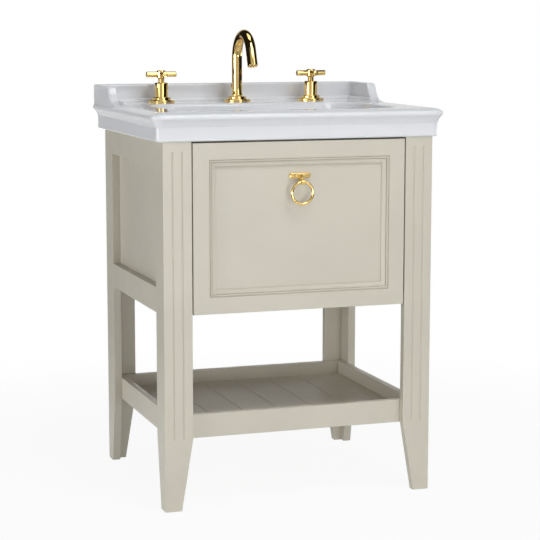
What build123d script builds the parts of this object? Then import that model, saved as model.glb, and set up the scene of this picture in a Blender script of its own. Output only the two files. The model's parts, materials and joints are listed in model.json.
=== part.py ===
from build123d import *
from math import asin, cos, degrees, radians, sin
import os

os.makedirs("parts", exist_ok=True)

# The frame: X to the right, Y towards the wall, Z up from the floor, in millimetres.
# The origin lies on the floor, under the middle of the basin's outline.

# Cabinet
cabinet_width = 600
cabinet_depth = 502
cabinet_height = 778
board = 18
drawer_zone = 361
side_rail_height = 54
side_panel_thickness = 16
back_rail_height = 78
stretcher_height = 60
stretcher_thickness = 15
stretcher_gap = 2

# Legs
leg_face = 61.6
foot_face = 36
foot_side = 34.5
taper_rise = 154
flute_width = 3.6
flute_depth = 2
flute_top_margin = 21

# Tray shelf
tray_bottom = 151.5
tray_height = 50
tray_rail = 15
tray_drop = 29.5
plank_width = 80
plank_thickness = 12
plank_bevel = 1.2
plank_gap = 0.4
batten = 14

# Basin
rim_side_reach = 25
rim_front_reach = 16
wall_gap = 12
deck_rise = 60.7
deck_thickness = 14
apron_wall = 22
rim_projection = 12
rim_corner = 24
rim_foot_round = 3
apron_height = 20
rim_lip_low = 42
rim_lip_high = 55
rim_lip_bulge = 3.6
bowl_front_margin = 52
bowl_side_margin = 75
bowl_back_margin = 164
bowl_corner = 72
bowl_floor_corner = 62
bowl_depth = 125
bowl_wall = 12
bowl_draft_side = 50
bowl_draft_front = 53
bowl_draft_back = 41
bowl_floor_fillet = 34
bowl_lip = 9
drain_from_wall = 279
drain_radius = 22.5
drain_boss_radius = 36
drain_boss_drop = 30
overflow_drop = 42
overflow_radius = 9
duct_top_rise = 12
duct_width = 22
duct_depth = 10
duct_wall = 8

# Upstand on the rear of the basin
upstand_height = 40.5
upstand_thickness = 22
upstand_inset = 3
upstand_root = 6
return_length = 129
swoop_angle = 60
swoop_crest = 9
swoop_flare = 47.5
upstand_round = 5
upstand_inner_corner = 14
foot_cove = 8

# Taps
tap_from_wall = 76
tap_spacing = 182
tap_hole_radius = 17.5
spout_hole_shift = 10
rosette_radius = 31
rosette_step = 4.8
rosette_upper_radius = 21.5
rosette_height = 11.3
column_radius = 15
column_height = 45
column_round = 3
valve_radius = 13
neck_radius = 6.75
running_clearance = 0.05
seat_clearance = 0.3
hub_radius = 10
hub_height = 17.5
hub_gap = 10
arm_radius = 6.25
arm_reach = 35
arm_end_round = 1.2
hub_round = 2
spindle_radius = 4
neck_depth = 20
valve_drop = 46
valve_block = 30
valve_block_round = 4
inlet_radius = 10.5
inlet_wall = 2.5
inlet_length = 18
outlet_radius = 7.5
outlet_wall = 2
outlet_length = 16
washer_radius = 25
washer_thickness = 3
seal_slack = 2
locknut_flats = 36
spout_nut_flats = 25.2
locknut_height = 9

# Spout
spout_radius = 11.7
spout_bore = 9
spout_bend = 53
spout_rise = 89.5
spout_sweep = 160
spout_straight = 38
spout_collar_radius = 13
spout_collar_height = 5
spout_socket = 22
spout_lift = 0.2
shank_radius = 7
shank_wall = 2
shank_top_gap = 2
shank_drop = 55
aerator_length = 7
aerator_recess = 1
aerator_hole = 1.6
aerator_ring = 4.95

# Pop-up waste and its lift rod
lift_shift = 24.5
lift_rod_radius = 2.5
lift_clearance = 0.3
lift_travel = 45
knob_radius = 7.5
knob_foot_radius = 4.5
knob_head_radius = 5.25
knob_height = 15
knob_waist_low = 5.25
knob_waist_high = 11.25
knob_gap = 14
strap_width = 12
strap_thickness = 2
strap_overlap = 14
strap_foot = 10
strap_length = 80
strap_hole_pitch = 14
strap_hole_slack = 0.7
pivot_drop = 44
pivot_inner_arm = 26
pivot_rod_radius = 2
pivot_ball = 6
pivot_slack = 0.3
pivot_seat_depth = 4
pivot_port_wall = 5
pivot_rod_overrun = 6
pivot_tip = 3
pivot_nut_skirt = 7
pivot_nut_cap = 4
pivot_nut_wall = 3
pivot_retain = 1
flange_radius = 31
flange_thickness = 2.5
waste_bore = 17
waste_radius = 20
flange_bevel = 2
waste_below_boss = 24
waste_slot = 8
backnut_radius = 33
backnut_height = 11
waste_seal = 4
tail_radius = 19
tail_bore = 16
tail_length = 62
tail_taper = 6
tail_dip = 24
tail_socket = 9
tail_socket_floor = 4
tail_socket_wall = 4
trap_pipe = 16
trap_pipe_wall = 1.5
trap_seam = 2
trap_neck_wall = 4
pipe_end_step = 0.3
plug_radius = 22
plug_head = 6
plug_stem = 5
plug_lift = 5.8
plug_seat_gap = 0.3
plug_foot = 9
plug_bevel = 2
plug_fin = 1.6
plug_eye_slack = 0.9

# Bottle trap
trap_radius = 30
trap_wall = 3
trap_height = 100
trap_cup_radius = 33
trap_cup_height = 28
cup_overlap = 14
cup_floor = 3
trap_nut_radius = 23
trap_nut_rim = 8
trap_nut_skirt = 7
trap_shoulder = 20
trap_neck_height = 8
trap_outlet_drop = 32
trap_branch = 14

# Drawer
front_gap = 2.4
front_top_gap = 2.5
front_thickness = 20
frame_margin = 38
frame_bead = 4
frame_slope = 11
bead_depth = 2
panel_depth = 9.5
front_bevel = 0.8
box_bottom = 20
box_height = 203
box_board = 14
box_length = 400
box_edge_round = 2.5
floor_thickness = 8
floor_rise = 6
floor_tongue = 5
notch_half_width = 90
notch_clearance = 28
liner = 10

# Runners
runner_thickness = 12.7
runner_height = 45
runner_rise = 85
runner_sheet = 1.2
runner_play = 0.4
runner_lip = 5
slide_lip = 2.4
packer_height = 60

# Ring pull
pull_drop = 76.5
pull_width = 48
pull_height = 11.5
pull_thickness = 6
eye_reach = 19.6
eye_drop = 12.5
eye_radius = 5.8
eye_width = 7
ring_radius = 23.1
ring_wire = 2.9
eye_slack = 0.45
pull_edge_round = 1.6
post_top_margin = 1.5
post_low_margin = 1
post_reach = 4.1
post_foot_reach = 5.4
pull_foot_set = 2

# Screws
screw_radius = 2
screw_head = 4
screw_head_height = 2.4
screw_length = 22
pull_screw_spacing = 34
pull_cover = 2
box_screw_spread = 0.7
wall_hole_radius = 3.5
wall_hole_spacing = 320

# Places worked out from the sizes above
half_width = cabinet_width / 2
basin_half = half_width + rim_side_reach
basin_depth = cabinet_depth + rim_front_reach + wall_gap
wall_y = basin_depth / 2
rim_front = -basin_depth / 2
front_y = rim_front + rim_front_reach
back_y = front_y + cabinet_depth
panel_face_x = half_width - board
panel_inner_x = panel_face_x - side_panel_thickness
leg_inner_x = half_width - leg_face
carcass_bottom = cabinet_height - drawer_zone

deck = cabinet_height + deck_rise
deck_underside = deck - deck_thickness
tap_y = wall_y - tap_from_wall
drain_y = wall_y - drain_from_wall
bowl_front = rim_front + bowl_front_margin
bowl_back = wall_y - bowl_back_margin
bowl_half = basin_half - bowl_side_margin
bowl_floor = deck - bowl_depth
boss_bottom = bowl_floor - drain_boss_drop
upstand_top = deck + upstand_height

rosette_top = deck + rosette_height
column_top = deck + column_height
neck_foot = column_top - neck_depth
hub_low = column_top + hub_gap
arm_z = hub_low + hub_height / 2

runner_z = carcass_bottom + runner_rise
runner_start = front_y + front_thickness + stretcher_gap
runner_length = box_length - stretcher_gap
box_half = leg_inner_x - runner_thickness
box_start = front_y + front_thickness
box_end = box_start + box_length
box_low = carcass_bottom + box_bottom
box_top = box_low + box_height
floor_low = box_low + floor_rise
floor_top = floor_low + floor_thickness
notch_front = drain_y - trap_cup_radius - notch_clearance

lift_y = tap_y + lift_shift
pivot_z = boss_bottom - pivot_drop
pivot_y = drain_y + pivot_inner_arm
pivot_outer_arm = lift_y - pivot_y
pivot_tilt = degrees(asin(lift_travel / 2 / pivot_outer_arm))
strap_hole_z = pivot_z - lift_travel / 2
strap_top = strap_hole_z + strap_length
tail_top = boss_bottom - waste_below_boss
tail_foot = tail_top - tail_length
trap_top = tail_foot - trap_seam
trap_outlet_z = trap_top - trap_outlet_drop
trap_neck = trap_pipe + trap_neck_wall
trap_foot = trap_top - trap_height
branch_end = drain_y + trap_radius + trap_branch

panel_y = front_y + panel_depth
pull_z = cabinet_height - pull_drop
eye_z = pull_z - eye_drop
eye_y = panel_y - eye_reach
pull_screw_places = [(-pull_screw_spacing / 2, pull_z), (pull_screw_spacing / 2, pull_z)]
box_screw_places = [(x, z) for x in (-box_half * box_screw_spread, box_half * box_screw_spread)
                    for z in (box_low + box_height / 4, box_low + box_height * 3 / 4)]


def save(piece, name):
    """Name a finished piece and write it to its own file."""
    piece.part.label = name
    export_step(piece.part, f"parts/{name}.step")


def board_between(low, high):
    """Square-edged board filling the space from its lowest corner to its highest."""
    with BuildPart() as piece:
        with BuildSketch(Plane.XY.offset(low[2])):
            with Locations((low[0], low[1])):
                Rectangle(high[0] - low[0], high[1] - low[1], align=(Align.MIN, Align.MIN))
        extrude(amount=high[2] - low[2])
    return piece


def upright(x, y):
    """Plane on edge through an upright centre line, for outlines of radius and height."""
    return Plane(origin=(x, y, 0), x_dir=(1, 0, 0), z_dir=(0, -1, 0))


def upright_axis(x, y):
    return Axis((x, y, 0), (0, 0, 1))


def turned(x, y, outline):
    """Solid turned about an upright centre line from its half outline."""
    with BuildPart() as piece:
        with BuildSketch(upright(x, y)):
            with BuildLine():
                Polyline(*outline, close=True)
            make_face()
        revolve(axis=upright_axis(x, y))
    return piece


def washer(x, y, low, high, outer, inner):
    return turned(x, y, [(inner, low), (outer, low), (outer, high), (inner, high)])


def mirrored(piece, about=Plane.YZ):
    """The same piece on the other side."""
    with BuildPart() as other:
        mirror(piece.part, about=about)
    return other


def make_front_leg():
    """Front left leg: two boards in an L, fluted on the face, tapered on both inner edges."""
    with BuildPart() as leg:
        with BuildSketch():
            with Locations((-half_width, front_y)):
                Rectangle(leg_face, board, align=(Align.MIN, Align.MIN))
                Rectangle(board, leg_face, align=(Align.MIN, Align.MIN))
        extrude(amount=cabinet_height)
        with BuildSketch(Plane.XZ.offset(-front_y)):
            with BuildLine():
                Polyline(
                    (-leg_inner_x, taper_rise),
                    (-leg_inner_x, 0),
                    (-half_width + foot_face, 0),
                    close=True,
                )
            make_face()
        extrude(amount=-board, mode=Mode.SUBTRACT)
        with BuildSketch(Plane.YZ.offset(-half_width)):
            with BuildLine():
                Polyline(
                    (front_y + leg_face, taper_rise),
                    (front_y + leg_face, 0),
                    (front_y + foot_side, 0),
                    close=True,
                )
            make_face()
        extrude(amount=board, mode=Mode.SUBTRACT)
        with BuildSketch(Plane.XY.offset(taper_rise)):
            with Locations(*[(-half_width + leg_face * share / 3, front_y) for share in (1, 2)]):
                Polygon((-flute_width / 2, 0), (flute_width / 2, 0), (0, flute_depth), align=None)
        extrude(amount=cabinet_height - flute_top_margin - taper_rise, mode=Mode.SUBTRACT)
    return leg


def make_back_leg():
    """Back left leg: the same L and taper without flutes, turned to the wall."""
    with BuildPart() as leg:
        with BuildSketch():
            with Locations((-half_width, back_y)):
                Rectangle(leg_face, board, align=(Align.MIN, Align.MAX))
                Rectangle(board, leg_face, align=(Align.MIN, Align.MAX))
        extrude(amount=cabinet_height)
        with BuildSketch(Plane.XZ.offset(-back_y)):
            with BuildLine():
                Polyline(
                    (-leg_inner_x, taper_rise),
                    (-leg_inner_x, 0),
                    (-half_width + foot_face, 0),
                    close=True,
                )
            make_face()
        extrude(amount=board, mode=Mode.SUBTRACT)
        with BuildSketch(Plane.YZ.offset(-half_width)):
            with BuildLine():
                Polyline(
                    (back_y - leg_face, taper_rise),
                    (back_y - leg_face, 0),
                    (back_y - foot_side, 0),
                    close=True,
                )
            make_face()
        extrude(amount=board, mode=Mode.SUBTRACT)
    return leg


def make_wall_rail(low, high):
    """Back rail with two round holes for the screws that hold the unit to the wall."""
    with BuildPart() as rail:
        add(board_between(low, high).part)
        with BuildSketch(Plane.XZ.offset(-high[1])):
            with Locations((-wall_hole_spacing / 2, (low[2] + high[2]) / 2),
                           (wall_hole_spacing / 2, (low[2] + high[2]) / 2)):
                Circle(wall_hole_radius)
        extrude(amount=high[1] - low[1], mode=Mode.SUBTRACT)
    return rail


def make_planks():
    """Tray floor: planks from front to back, with a small bevel along each upper edge."""
    inner_x = panel_face_x - tray_rail
    low_y = front_y + board + tray_rail
    high_y = back_y - board - tray_rail
    low_z = tray_bottom + tray_height - tray_drop - plank_thickness
    count = int(2 * inner_x // plank_width)
    edges = [-plank_width * count / 2 + plank_width * n for n in range(count + 1)]
    if inner_x - edges[-1] > batten:
        edges = [-inner_x] + edges + [inner_x]
    else:
        edges[0] = -inner_x
        edges[-1] = inner_x
    with BuildPart() as planks:
        for low_edge, high_edge in zip(edges, edges[1:]):
            left = low_edge + plank_gap / 2
            right = high_edge - plank_gap / 2
            with BuildSketch(Plane.XZ.offset(-low_y)):
                with BuildLine():
                    Polyline(
                        (left, low_z),
                        (right, low_z),
                        (right, low_z + plank_thickness - plank_bevel),
                        (right - plank_bevel, low_z + plank_thickness),
                        (left + plank_bevel, low_z + plank_thickness),
                        (left, low_z + plank_thickness - plank_bevel),
                        close=True,
                    )
                make_face()
            extrude(amount=-(high_y - low_y))
    return planks


def rim_face(plane):
    """Section of the apron and rolled rim, with sketch X outwards and sketch Y upwards."""
    apron = rim_corner - rim_projection
    lip = rim_corner - rim_lip_bulge
    lip_middle = (rim_lip_low + rim_lip_high) / 2
    with BuildSketch(plane) as face:
        with BuildLine():
            Polyline((0, deck_rise), (0, 0), (apron - rim_foot_round, 0))
            RadiusArc((apron - rim_foot_round, 0), (apron, rim_foot_round), -rim_foot_round)
            Line((apron, rim_foot_round), (apron, apron_height))
            TangentArc((apron, apron_height), (lip, rim_lip_low), tangent=(0, 1))
            ThreePointArc((lip, rim_lip_low), (rim_corner, lip_middle), (lip, rim_lip_high))
            TangentArc((0, deck_rise), (lip, rim_lip_high), tangent=(1, 0))
        make_face()
    return face.sketch


def bowl_level(height, grow):
    """Rounded outline of the bowl at a height, widened by its wall."""
    share = (deck - height) / bowl_depth
    low_y = bowl_front + bowl_draft_front * share - grow
    high_y = bowl_back - bowl_draft_back * share + grow
    half = bowl_half - bowl_draft_side * share + grow
    corner = bowl_corner + (bowl_floor_corner - bowl_corner) * share + grow
    with BuildSketch(Plane(origin=(0, (low_y + high_y) / 2, height))) as outline:
        RectangleRounded(2 * half, high_y - low_y, corner)
    return outline.sketch


def make_bowl(top, low, grow, round_by):
    """Tapered bowl volume between two heights with a rounded floor."""
    with BuildPart() as bowl:
        loft([bowl_level(top, grow), bowl_level(low, grow)], ruled=True)
        fillet(bowl.edges().group_by(Axis.Z)[0], round_by)
    return bowl


def bowl_back_line(drop, out):
    """Depth of the bowl's back wall at a drop below the deck, a distance outside its inner face."""
    return bowl_back - bowl_draft_back * drop / bowl_depth + out


def duct_outline(near, far, top_drop, low_drop, floor_drop):
    """Side outline of the overflow duct: down behind the bowl and forward under its floor."""
    return [
        (bowl_back_line(top_drop, near), deck - top_drop),
        (bowl_back_line(top_drop, far), deck - top_drop),
        (bowl_back_line(low_drop, far), deck - low_drop),
        (drain_y, deck - low_drop),
        (drain_y, deck - floor_drop),
        (bowl_back_line(floor_drop, near), deck - floor_drop),
    ]


def swoop_section(plane_x, width):
    """Side shape of the upstand: level top, crest, slope, and a flare that runs out on the deck."""
    turn = radians(swoop_angle)
    straight = (upstand_height - (swoop_crest + swoop_flare) * (1 - cos(turn))) / sin(turn)
    with BuildPart() as block:
        with BuildSketch(Plane.YZ.offset(plane_x)):
            with BuildLine():
                level = Line((wall_y, upstand_top), (wall_y - return_length, upstand_top))
                crest = JernArc(level @ 1, level % 1, swoop_crest, swoop_angle)
                slope = Line(crest @ 1, crest @ 1 + straight * (crest % 1))
                flare = JernArc(slope @ 1, slope % 1, swoop_flare, -swoop_angle)
                foot = flare @ 1
                Polyline(foot, (foot.X, deck - upstand_root), (wall_y, deck - upstand_root), level @ 0)
            make_face()
        extrude(amount=width)
    return block


def make_upstand():
    """Low wall on three sides of the deck, with rounded edges and swooping side returns."""
    outer = basin_half - upstand_inset
    inner = outer - upstand_thickness
    inner_y = wall_y - upstand_thickness
    with BuildPart() as upstand:
        add(swoop_section(-outer, 2 * outer).part)
        with BuildSketch(Plane.XY.offset(deck - upstand_root)) as hollow:
            with Locations((0, inner_y)):
                Rectangle(2 * inner, cabinet_depth, align=(Align.CENTER, Align.MAX))
            fillet(hollow.vertices().group_by(Axis.Y)[-1], upstand_inner_corner)
        extrude(amount=upstand_height + 2 * upstand_root, mode=Mode.SUBTRACT)
        rounded = upstand.edges().filter_by(
            lambda edge: edge.center().Z > deck + 1
            and edge.center().Y < wall_y - 1
            and abs(edge.tangent_at(0.5).Z) < 0.99
            and (abs(edge.tangent_at(0.5).X) < 0.99 or abs(edge.center().X) < 1))
        fillet(rounded, upstand_round)
    return upstand


def make_cove():
    """Hollow rounding at the foot of the upstand, dying away under the flares."""
    inner = basin_half - upstand_inset - upstand_thickness
    inner_y = wall_y - upstand_thickness
    start_y = wall_y - return_length - swoop_flare
    corner = upstand_inner_corner
    with BuildPart() as cove:
        with BuildLine(Plane.XY.offset(deck)) as path:
            left = Line((-inner, start_y), (-inner, inner_y - corner))
            bend = JernArc(left @ 1, left % 1, corner, -90)
            back = Line(bend @ 1, (inner - corner, inner_y))
            turn = JernArc(back @ 1, back % 1, corner, -90)
            Line(turn @ 1, (inner, start_y))
        with BuildSketch(Plane(origin=(-inner, start_y, deck), x_dir=(1, 0, 0), z_dir=(0, -1, 0))):
            with BuildLine():
                Polyline((foot_cove, 0), (foot_cove, -1), (-1, -1), (-1, foot_cove), (0, foot_cove))
                RadiusArc((0, foot_cove), (foot_cove, 0), foot_cove)
            make_face()
        sweep(path=path.line)
        add(swoop_section(-basin_half, 2 * basin_half).part, mode=Mode.INTERSECT)
    return cove


def make_basin():
    """One ceramic piece: rolled rim and apron, deck, bowl, upstand, holes and overflow duct."""
    pivot_x = basin_half - rim_corner
    corner_y = rim_front + rim_corner
    left = Plane(origin=(-pivot_x, corner_y, cabinet_height), x_dir=(-1, 0, 0), z_dir=(0, 1, 0))
    right = Plane(origin=(pivot_x, wall_y, cabinet_height), x_dir=(1, 0, 0), z_dir=(0, -1, 0))
    front = Plane(origin=(pivot_x, corner_y, cabinet_height), x_dir=(0, -1, 0), z_dir=(-1, 0, 0))
    inner_half = basin_half - rim_projection - apron_wall
    inner_front = rim_front + rim_projection + apron_wall
    with BuildPart() as basin:
        with BuildSketch(Plane.XY.offset(cabinet_height)):
            with Locations((0, corner_y)):
                Rectangle(2 * pivot_x, wall_y - corner_y, align=(Align.CENTER, Align.MIN))
        extrude(amount=deck_rise)
        extrude(rim_face(left), amount=wall_y - corner_y)
        extrude(rim_face(right), amount=wall_y - corner_y)
        extrude(rim_face(front), amount=2 * pivot_x)
        revolve(rim_face(left), axis=upright_axis(-pivot_x, corner_y), revolution_arc=90)
        revolve(rim_face(front), axis=upright_axis(pivot_x, corner_y), revolution_arc=90)
        with BuildSketch(Plane(origin=(0, (inner_front + wall_y - apron_wall) / 2, cabinet_height))):
            RectangleRounded(2 * inner_half, wall_y - apron_wall - inner_front, rim_projection)
        extrude(amount=deck_rise - deck_thickness, mode=Mode.SUBTRACT)
        add(make_bowl(deck, bowl_floor - bowl_wall, bowl_wall, bowl_floor_fillet).part)
        with BuildSketch(Plane(origin=(0, drain_y, boss_bottom))):
            Circle(drain_boss_radius)
        extrude(amount=drain_boss_drop)
        duct_top = overflow_drop - duct_top_rise
        duct_low = bowl_depth + bowl_wall + duct_depth + duct_wall
        with BuildSketch(Plane.YZ.offset(-duct_width / 2 - duct_wall)):
            Polygon(*duct_outline(bowl_wall / 2, bowl_wall + duct_depth + duct_wall, duct_top - duct_wall,
                                  duct_low, bowl_depth + bowl_wall / 2), align=None)
        extrude(amount=duct_width + 2 * duct_wall)
        add(make_bowl(deck, bowl_floor, 0, bowl_floor_fillet).part, mode=Mode.SUBTRACT)
        lip = basin.edges().filter_by(
            lambda edge: abs(edge.center().Z - deck) < 0.01
            and abs(edge.center().X) < bowl_half + 1
            and bowl_front - 1 < edge.center().Y < bowl_back + 1)
        fillet(lip, bowl_lip)
        add(make_upstand().part)
        add(make_cove().part)
        with BuildSketch(Plane.YZ.offset(-duct_width / 2)):
            Polygon(*duct_outline(bowl_wall, bowl_wall + duct_depth, duct_top,
                                  duct_low - duct_wall, bowl_depth + bowl_wall), align=None)
        extrude(amount=duct_width, mode=Mode.SUBTRACT)
        with BuildSketch(Plane.XZ.offset(-bowl_back_line(overflow_drop, bowl_wall + duct_depth / 2))):
            with Locations((0, deck - overflow_drop)):
                Circle(overflow_radius)
        extrude(amount=bowl_wall + duct_depth, mode=Mode.SUBTRACT)
        with BuildSketch(Plane(origin=(0, drain_y, boss_bottom))):
            Circle(drain_radius)
        extrude(amount=drain_boss_drop + bowl_wall, mode=Mode.SUBTRACT)
        with BuildSketch(Plane.XY.offset(deck_underside)):
            with Locations((-tap_spacing, tap_y), (tap_spacing, tap_y), (0, tap_y + spout_hole_shift)):
                Circle(tap_hole_radius)
        extrude(amount=deck_thickness, mode=Mode.SUBTRACT)
    return basin


def make_pillar(x):
    """Stepped round rosette and column of a side tap, bored for its valve and handle."""
    bore = neck_radius + running_clearance
    with BuildPart() as pillar:
        with BuildSketch(upright(x, tap_y)):
            with BuildLine():
                Polyline(
                    (valve_radius, deck),
                    (rosette_radius, deck),
                    (rosette_radius, deck + rosette_step),
                    (rosette_upper_radius, deck + rosette_step),
                    (rosette_upper_radius, rosette_top),
                    (column_radius, rosette_top),
                    (column_radius, column_top - column_round),
                )
                RadiusArc((column_radius, column_top - column_round),
                          (column_radius - column_round, column_top), -column_round)
                Polyline(
                    (column_radius - column_round, column_top),
                    (bore, column_top),
                    (bore, neck_foot - 1),
                    (valve_radius, neck_foot - 1),
                    (valve_radius, deck),
                )
            make_face()
        revolve(axis=upright_axis(x, tap_y))
    return pillar


def make_valve(x):
    """Valve of a side tap: threaded barrel through the deck, block, inlet and outlet spigots."""
    toward = -1 if x > 0 else 1
    block_top = deck - valve_drop
    block_low = block_top - valve_block
    spindle_hole = spindle_radius + seat_clearance
    with BuildPart() as valve:
        add(turned(x, tap_y, [
            (0, block_top),
            (valve_radius, block_top),
            (valve_radius, neck_foot - 2),
            (spindle_hole, neck_foot - 2),
            (spindle_hole, deck),
            (0, deck),
        ]).part)
        with BuildSketch(Plane(origin=(x, tap_y, block_low))):
            RectangleRounded(valve_block, valve_block, valve_block_round)
        extrude(amount=valve_block)
        add(turned(x, tap_y, [
            (inlet_radius - inlet_wall, block_low - inlet_length),
            (inlet_radius, block_low - inlet_length),
            (inlet_radius, block_low),
            (inlet_radius - inlet_wall, block_low),
        ]).part)
        with BuildSketch(Plane(origin=(x + toward * valve_block / 2, tap_y, block_low + valve_block / 2),
                               z_dir=(toward, 0, 0))):
            Circle(outlet_radius)
            Circle(outlet_radius - outlet_wall, mode=Mode.SUBTRACT)
        extrude(amount=outlet_length)
    return valve


def make_handle(x):
    """Cross handle: neck, round hub and four arms, with the spindle that turns the valve."""
    with BuildPart() as handle:
        with BuildSketch(upright(x, tap_y)):
            with BuildLine():
                Polyline(
                    (0, deck + 2),
                    (spindle_radius, deck + 2),
                    (spindle_radius, neck_foot),
                    (neck_radius, neck_foot),
                    (neck_radius, hub_low),
                    (hub_radius, hub_low),
                    (hub_radius, hub_low + hub_height),
                    (0, hub_low + hub_height),
                    close=True,
                )
            make_face()
        revolve(axis=upright_axis(x, tap_y))
        rims = handle.edges().filter_by(GeomType.CIRCLE).filter_by(
            lambda edge: abs(edge.radius - hub_radius) < 0.01)
        fillet(rims, hub_round)
        with BuildSketch(Plane(origin=(x, tap_y, arm_z))) as across:
            with Locations((-arm_reach, 0)):
                Rectangle(2 * arm_reach, arm_radius, align=(Align.MIN, Align.MIN))
            fillet(across.vertices().group_by(Axis.Y)[-1], arm_end_round)
        revolve(axis=Axis((x, tap_y, arm_z), (1, 0, 0)))
        with BuildSketch(Plane(origin=(x, tap_y, arm_z))) as along:
            with Locations((0, -arm_reach)):
                Rectangle(arm_radius, 2 * arm_reach, align=(Align.MIN, Align.MIN))
            fillet(along.vertices().group_by(Axis.X)[-1], arm_end_round)
        revolve(axis=Axis((x, tap_y, arm_z), (0, 1, 0)))
    return handle


def make_spout_rosette():
    """Stepped rosette under the spout, bored for the shank and, further back, the lift rod."""
    with BuildPart() as rosette:
        add(turned(0, tap_y, [
            (shank_radius, deck),
            (rosette_radius, deck),
            (rosette_radius, deck + rosette_step),
            (rosette_upper_radius, deck + rosette_step),
            (rosette_upper_radius, rosette_top),
            (shank_radius, rosette_top),
        ]).part)
        with BuildSketch(Plane(origin=(0, lift_y, deck))):
            Circle(lift_rod_radius + lift_clearance)
        extrude(amount=rosette_height, mode=Mode.SUBTRACT)
    return rosette


def spout_path(plane_y, start):
    """Centre line of the spout in the side view: up, over and down to the outlet."""
    rise = deck + rosette_height + spout_rise
    centre = plane_y - spout_bend
    turn = radians(spout_sweep)
    end = (centre + spout_bend * cos(turn), rise + spout_bend * sin(turn))
    half = (centre + spout_bend * cos(turn / 2), rise + spout_bend * sin(turn / 2))
    run = (-sin(turn), cos(turn))
    outlet = (end[0] + spout_straight * run[0], end[1] + spout_straight * run[1])
    with BuildLine(Plane.YZ) as path:
        Line((plane_y, start), (plane_y, rise))
        ThreePointArc((plane_y, rise), half, end)
        Line(end, outlet)
    return path


def make_spout():
    """Swan-neck tube with a collar, turning on the shank, open at its outlet."""
    foot = rosette_top + spout_lift
    path = spout_path(tap_y, foot)
    bore_path = spout_path(tap_y, foot + spout_socket)
    with BuildPart() as spout:
        with BuildSketch(Plane.XY.offset(foot)):
            with Locations((0, tap_y)):
                Circle(spout_radius)
        sweep(path=path.line)
        with BuildSketch(Plane.XY.offset(foot)):
            with Locations((0, tap_y)):
                Circle(spout_collar_radius)
        extrude(amount=spout_collar_height)
        with BuildSketch(Plane.XY.offset(foot + spout_socket)):
            with Locations((0, tap_y)):
                Circle(spout_bore)
        sweep(path=bore_path.line, mode=Mode.SUBTRACT)
        with BuildSketch(Plane.XY.offset(foot)):
            with Locations((0, tap_y)):
                Circle(shank_radius + running_clearance)
        extrude(amount=spout_socket, mode=Mode.SUBTRACT)
    return spout


def make_aerator():
    """Perforated insert in the mouth of the spout."""
    turn = radians(spout_sweep)
    run = Vector(0, -sin(turn), cos(turn))
    rise = deck + rosette_height + spout_rise
    end = Vector(0, tap_y - spout_bend + spout_bend * cos(turn), rise + spout_bend * sin(turn))
    seat = end + run * (spout_straight - aerator_length)
    with BuildPart() as aerator:
        with BuildSketch(Plane(origin=seat, x_dir=(1, 0, 0), z_dir=run)):
            Circle(spout_bore)
            Circle(aerator_hole, mode=Mode.SUBTRACT)
            with PolarLocations(aerator_ring, 6):
                Circle(aerator_hole, mode=Mode.SUBTRACT)
        extrude(amount=aerator_length - aerator_recess)
    return aerator


def make_shank():
    """Hollow threaded shank that carries the spout and passes down through the deck."""
    return washer(0, tap_y, deck - shank_drop, rosette_top + spout_socket - shank_top_gap,
                  shank_radius, shank_radius - shank_wall)


def make_seals():
    """Rubber rings: one under the deck at each tap hole and one under the drain boss."""
    low = deck_underside - washer_thickness
    with BuildPart() as washers:
        add(washer(0, drain_y, boss_bottom - waste_seal, boss_bottom, backnut_radius, waste_radius).part)
        for x, bore in ((-tap_spacing, valve_radius), (tap_spacing, valve_radius), (0, shank_radius)):
            with BuildSketch(Plane.XY.offset(low)):
                with Locations((x, tap_y)):
                    Circle(washer_radius)
                    Circle(bore, mode=Mode.SUBTRACT)
                if x == 0:
                    with Locations((x, lift_y)):
                        Circle(lift_rod_radius + seal_slack, mode=Mode.SUBTRACT)
            extrude(amount=washer_thickness)
    return washers


def make_locknuts():
    """Hexagon nuts that draw each tap down onto the deck."""
    high = deck_underside - washer_thickness
    with BuildPart() as nuts:
        for x, bore, flats in ((-tap_spacing, valve_radius, locknut_flats),
                               (tap_spacing, valve_radius, locknut_flats),
                               (0, shank_radius, spout_nut_flats)):
            with BuildSketch(Plane.XY.offset(high - locknut_height)):
                with Locations((x, tap_y)):
                    RegularPolygon(flats / 2, 6, major_radius=False)
                    Circle(bore, mode=Mode.SUBTRACT)
            extrude(amount=locknut_height)
    return nuts


def make_lift_rod():
    """Round rod behind the spout with its knob, which works the plug."""
    knob_low = rosette_top + knob_gap
    outline = [
        (0, strap_top - strap_overlap),
        (lift_rod_radius, strap_top - strap_overlap),
        (lift_rod_radius, knob_low),
        (knob_foot_radius, knob_low),
        (knob_radius, knob_low + knob_waist_low),
        (knob_radius, knob_low + knob_waist_high),
        (knob_head_radius, knob_low + knob_height),
        (0, knob_low + knob_height),
    ]
    return turned(0, lift_y, outline)


def make_lift_strap():
    """Flat strap clamped to the lift rod, with the hole for the pivot rod near its foot."""
    foot = strap_hole_z - strap_foot
    with BuildPart() as strap:
        with BuildSketch(Plane(origin=(0, lift_y, foot))):
            Rectangle(strap_width, strap_thickness)
        extrude(amount=strap_top - strap_overlap - foot)
        with BuildSketch(Plane(origin=(0, lift_y, strap_top - strap_overlap))):
            Rectangle(strap_width, strap_width)
            Circle(lift_rod_radius, mode=Mode.SUBTRACT)
        extrude(amount=strap_overlap)
        with BuildSketch(Plane(origin=(0, lift_y, strap_top - strap_overlap - strap_thickness))):
            Rectangle(strap_width, strap_width)
        extrude(amount=strap_thickness)
        with BuildSketch(Plane.XZ.offset(-lift_y - strap_thickness)):
            with Locations((0, strap_hole_z)):
                Circle(pivot_rod_radius + strap_hole_slack)
            with Locations(*[(0, strap_hole_z + strap_hole_pitch * n) for n in (1, 2, 3)]):
                Circle(pivot_rod_radius)
        extrude(amount=2 * strap_thickness, mode=Mode.SUBTRACT)
    return strap


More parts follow.
